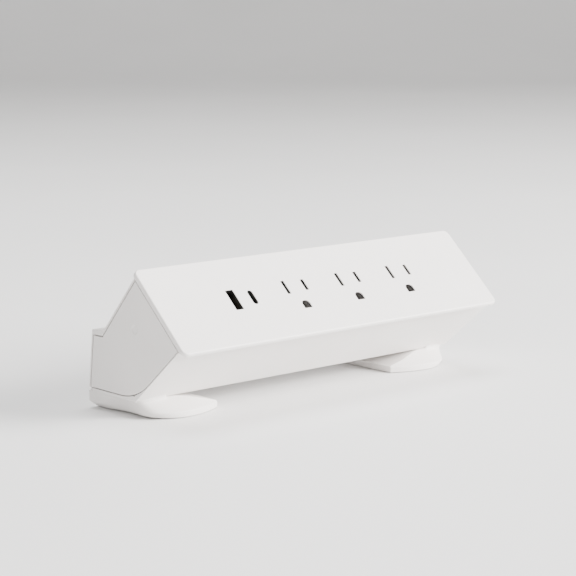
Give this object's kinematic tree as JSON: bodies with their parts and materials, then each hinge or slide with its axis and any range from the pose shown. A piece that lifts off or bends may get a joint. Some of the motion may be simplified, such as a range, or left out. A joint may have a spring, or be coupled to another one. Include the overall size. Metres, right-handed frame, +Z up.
{
  "type": "desk power strip",
  "caption": "White desk power strip with a sloped plate of grounded outlets and USB charging ports, on a triangular housing with two moulded feet.",
  "frame": {"origin": "middle of the footprint, on the surface that the strip stands on", "axes": "+X along the strip towards the last outlet, +Y to the rear, +Z up; the face plate looks to -Y and up"},
  "size_m": [0.2176, 0.0762, 0.0738],
  "materials": {
    "casing": "satin moulded white, fine texture",
    "rear_casing": "satin moulded white, fine texture",
    "foot_rubber": "matt",
    "carrier": "moulded grey",
    "shutter": "smooth grey",
    "steel": "plated",
    "contact_brass": "stamped",
    "circuit_board": "green solder mask",
    "black_plastic": "moulded black",
    "gland_rubber": "soft moulded, pale grey",
    "component_amber": "varnished",
    "capacitor_can": "sleeved",
    "black_insulation": "extruded",
    "white_insulation": "extruded",
    "green_insulation": "extruded"
  },
  "bodies": {
    "housing": {"face_plate": "casing", "lower_housing": "casing", "rear_cover": "rear_casing", "end_cap_left": "rear_casing", "end_cap_right": "rear_casing", "foot_pad_left": "foot_rubber", "foot_pad_right": "foot_rubber", "outlet_body_1": "carrier", "outlet_body_2": "carrier", "outlet_body_3": "carrier", "busbar_tray": "carrier", "cord_clamp": "carrier", "shutter_spring_1": "steel", "shutter_spring_2": "steel", "shutter_spring_3": "steel", "usb_a_shell": "steel", "usb_c_shell": "steel", "terminal_screw_1": "steel", "terminal_screw_2": "steel", "terminal_screw_3": "steel", "clamp_screw_low": "steel", "clamp_screw_high": "steel", "cover_screw_1": "steel", "cover_screw_2": "steel", "tray_screw_1": "steel", "tray_screw_2": "steel", "board_screw_1": "steel", "board_screw_2": "steel", "live_busbar": "contact_brass", "neutral_busbar": "contact_brass", "ground_busbar": "contact_brass", "usb_board": "circuit_board", "usb_a_tongue": "black_plastic", "usb_c_tongue": "black_plastic", "control_chip": "black_plastic", "terminal_block": "black_plastic", "cord_gland": "gland_rubber", "transformer": "component_amber", "line_fuse": "component_amber", "input_capacitor": "capacitor_can", "output_capacitor": "capacitor_can", "live_lead": "black_insulation", "charger_live_lead": "black_insulation", "neutral_lead": "white_insulation", "charger_neutral_lead": "white_insulation", "ground_lead": "green_insulation"},
    "shutter_slider_1": {"shutter_1": "shutter"},
    "shutter_slider_2": {"shutter_2": "shutter"},
    "shutter_slider_3": {"shutter_3": "shutter"}
  },
  "joints": [
    {"name": "shutter_1_slide", "type": "slide", "parent": "housing", "child": "shutter_slider_1", "axis": [1, 0, 0], "range_m": [0, 0.0036], "stiffness_N_per_m": 120, "springref_m": -0.002, "deforming": ["shutter_spring_1"]},
    {"name": "shutter_2_slide", "type": "slide", "parent": "housing", "child": "shutter_slider_2", "axis": [1, 0, 0], "range_m": [0, 0.0036], "stiffness_N_per_m": 120, "springref_m": -0.002, "deforming": ["shutter_spring_2"]},
    {"name": "shutter_3_slide", "type": "slide", "parent": "housing", "child": "shutter_slider_3", "axis": [1, 0, 0], "range_m": [0, 0.0036], "stiffness_N_per_m": 120, "springref_m": -0.002, "deforming": ["shutter_spring_3"]}
  ]
}
